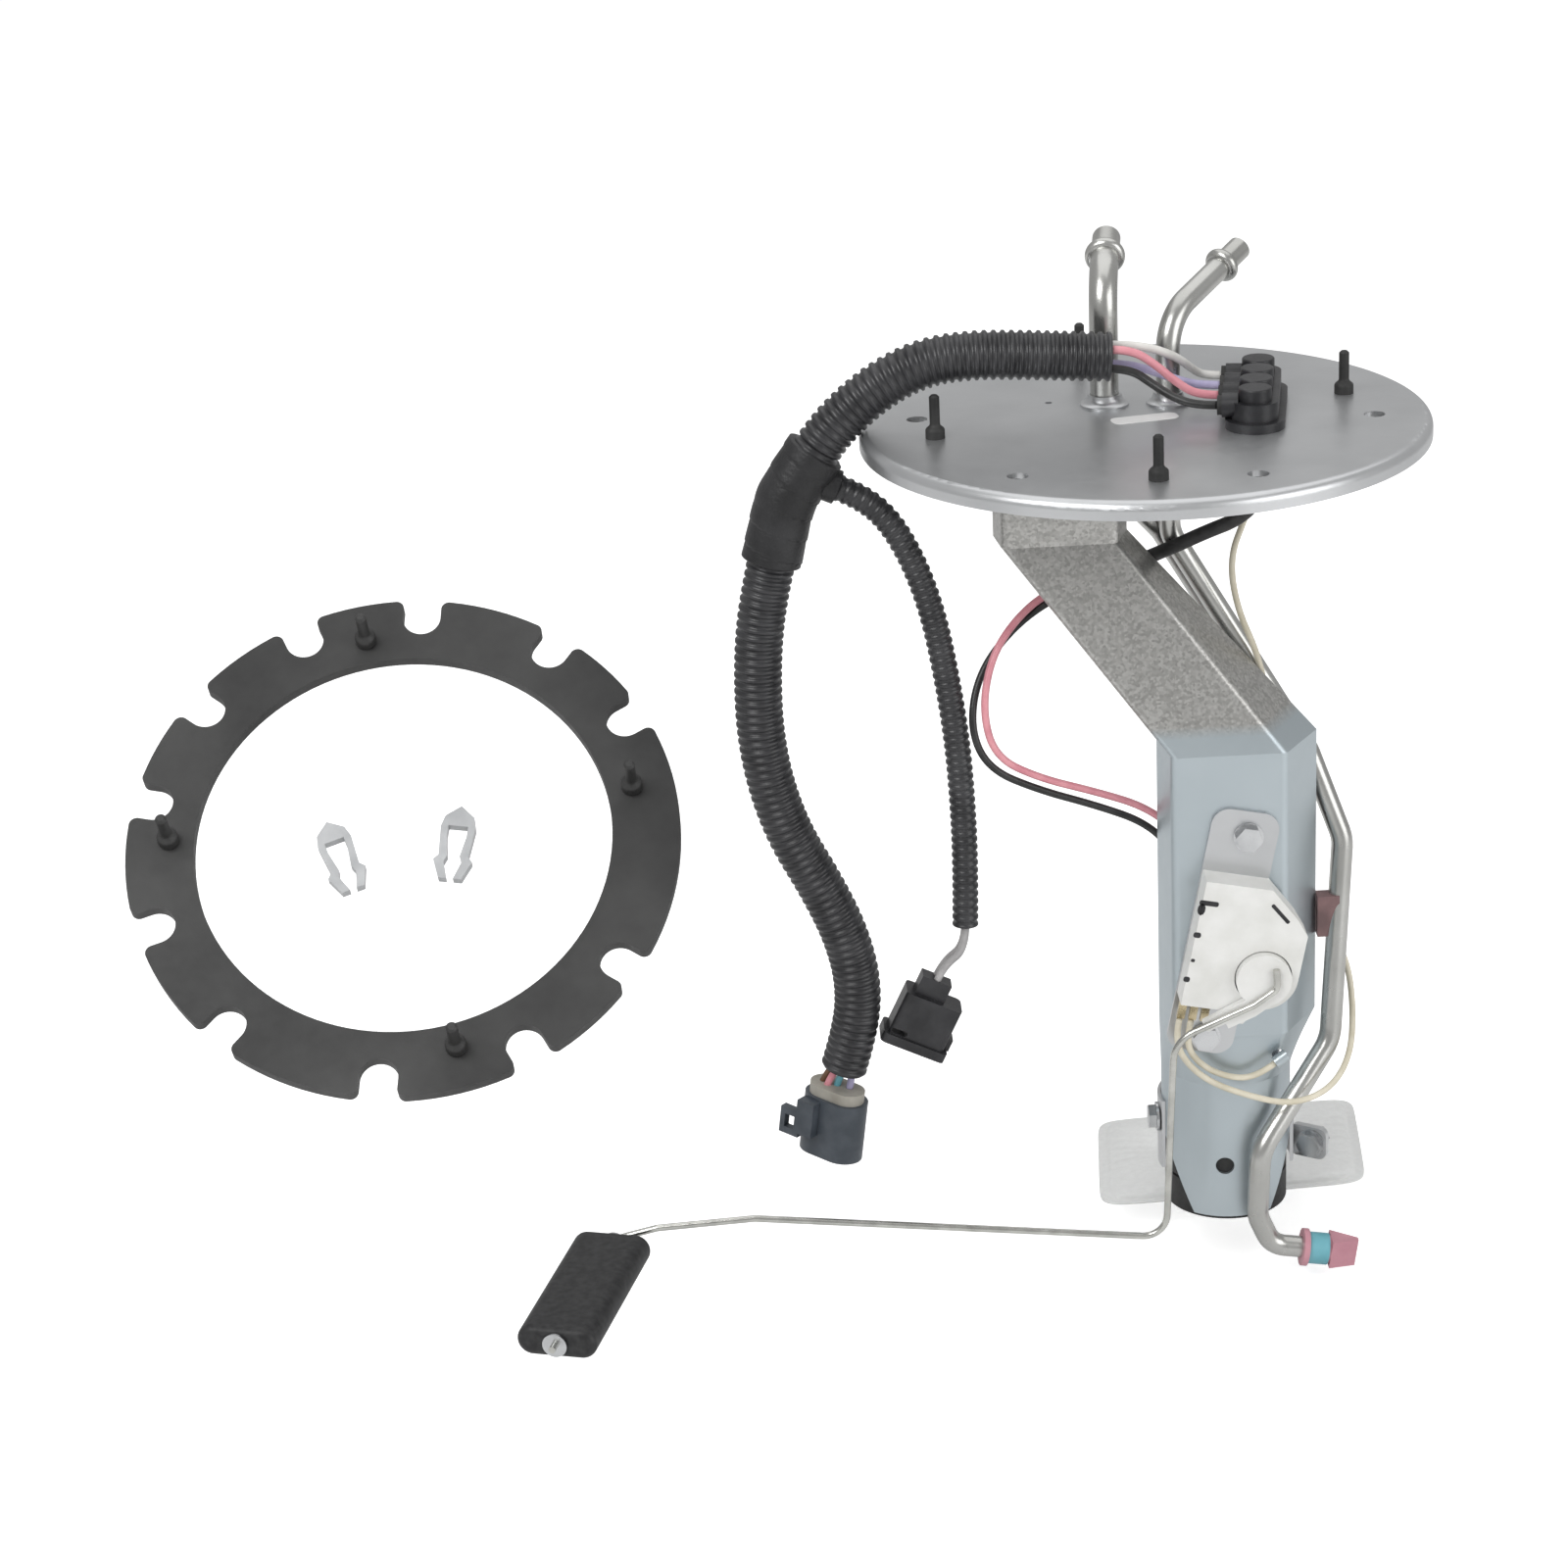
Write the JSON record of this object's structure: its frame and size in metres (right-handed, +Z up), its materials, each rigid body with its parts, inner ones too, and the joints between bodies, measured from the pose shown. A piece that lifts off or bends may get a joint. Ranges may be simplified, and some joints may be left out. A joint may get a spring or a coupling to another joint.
{
  "type": "fuel pump module",
  "caption": "Fuel tank flange with a hung electric pump, strainer, swinging level float, fuel spigots, wiring harness and a loose gasket with line clips.",
  "frame": {"origin": "centre of the flange's bolt circle, on the plate's underside", "axes": "+Z up out of the tank, +X to the right of the front view, the viewer stands at -Y"},
  "size_m": [0.4166, 0.305, 0.3585],
  "materials": {
    "zinc": "zinc plated",
    "zinc_bright": "bright zinc",
    "seal_rubber": "matt",
    "grey_rubber": "matt",
    "brown_rubber": "matt",
    "hose_rubber": "matt",
    "pale_plastic": "translucent",
    "black_plastic": "satin",
    "slate_plastic": "satin",
    "white_plastic": "matt",
    "brown_plastic": "matt",
    "rose_plastic": "satin",
    "teal_plastic": "satin",
    "tube_steel": "plated",
    "contact": "tinned",
    "can_steel": "plated",
    "cast_aluminium": "as cast",
    "iron": "dark",
    "carbon": "matt",
    "mesh": "fine mesh",
    "card": "printed",
    "wire_steel": "bright",
    "float_foam": "closed-cell",
    "conduit": "ribbed",
    "tape": "wrapped",
    "wire_black": "insulation",
    "wire_pink": "insulation",
    "wire_lavender": "insulation",
    "wire_white": "insulation",
    "wire_grey": "insulation",
    "wire_cream": "insulation"
  },
  "bodies": {
    "module": {"flange_plate": "zinc", "flange_gasket": "seal_rubber", "loose_gasket": "seal_rubber", "line_clips": "pale_plastic", "supply_spigot": "tube_steel", "return_spigot": "tube_steel", "feed_through": "black_plastic", "feed_wire_seals": "seal_rubber", "feed_pins": "contact", "hanger_bracket": "zinc", "clamp_strap": "zinc", "clamp_fasteners": "zinc_bright", "pump_can": "can_steel", "pump_bottom_cap": "black_plastic", "pump_middle_plate": "cast_aluminium", "pump_magnets": "iron", "pump_top_cap": "black_plastic", "pump_brushes": "carbon", "isolator": "seal_rubber", "supply_line": "tube_steel", "return_line": "tube_steel", "outlet_hose": "hose_rubber", "hose_bands": "zinc_bright", "return_valve": "rose_plastic", "valve_band": "teal_plastic", "line_holder": "brown_rubber", "strainer_sock": "mesh", "strainer_collar": "pale_plastic", "sender_plate": "zinc", "sender_bolts": "zinc_bright", "sender_base": "white_plastic", "sender_cover": "white_plastic", "sender_card": "card", "sender_terminals": "contact", "upper_conduit": "conduit", "lower_conduit": "conduit", "branch_conduit": "conduit", "tee": "tape", "wire_black": "wire_black", "wire_pink": "wire_pink", "wire_lavender": "wire_lavender", "wire_white": "wire_white", "branch_leads": "wire_grey", "lead_sleeve": "hose_rubber", "pump_lead_pink": "wire_pink", "pump_lead_black": "wire_black", "ground_lead": "wire_cream", "sender_leads": "wire_cream", "lead_plugs": "black_plastic", "main_seal": "grey_rubber", "main_connector": "slate_plastic", "main_leads": "wire_pink", "branch_connector": "black_plastic"},
    "arm": {"sender_rotor": "white_plastic", "sender_wiper": "contact", "float_arm": "wire_steel", "push_nuts": "zinc_bright"},
    "float": {"float_body": "float_foam"},
    "pump_rotor": {"pump_armature": "iron", "pump_impeller": "brown_plastic"}
  },
  "joints": [
    {"name": "arm_swing", "type": "hinge", "parent": "module", "child": "arm", "pos_m": [0.03455, -0.035, -0.18666], "axis": [0, 1, 0], "range_deg": [0, 46]},
    {"name": "float_turn", "type": "hinge", "parent": "arm", "child": "float", "pos_m": [-0.19, -0.0402, -0.2715], "axis": [-0.2588, -0.9659, 0], "continuous": true},
    {"name": "pump_spin", "type": "hinge", "parent": "module", "child": "pump_rotor", "pos_m": [0.026, -0.0013, -0.23], "axis": [0, 0, 1], "continuous": true}
  ]
}
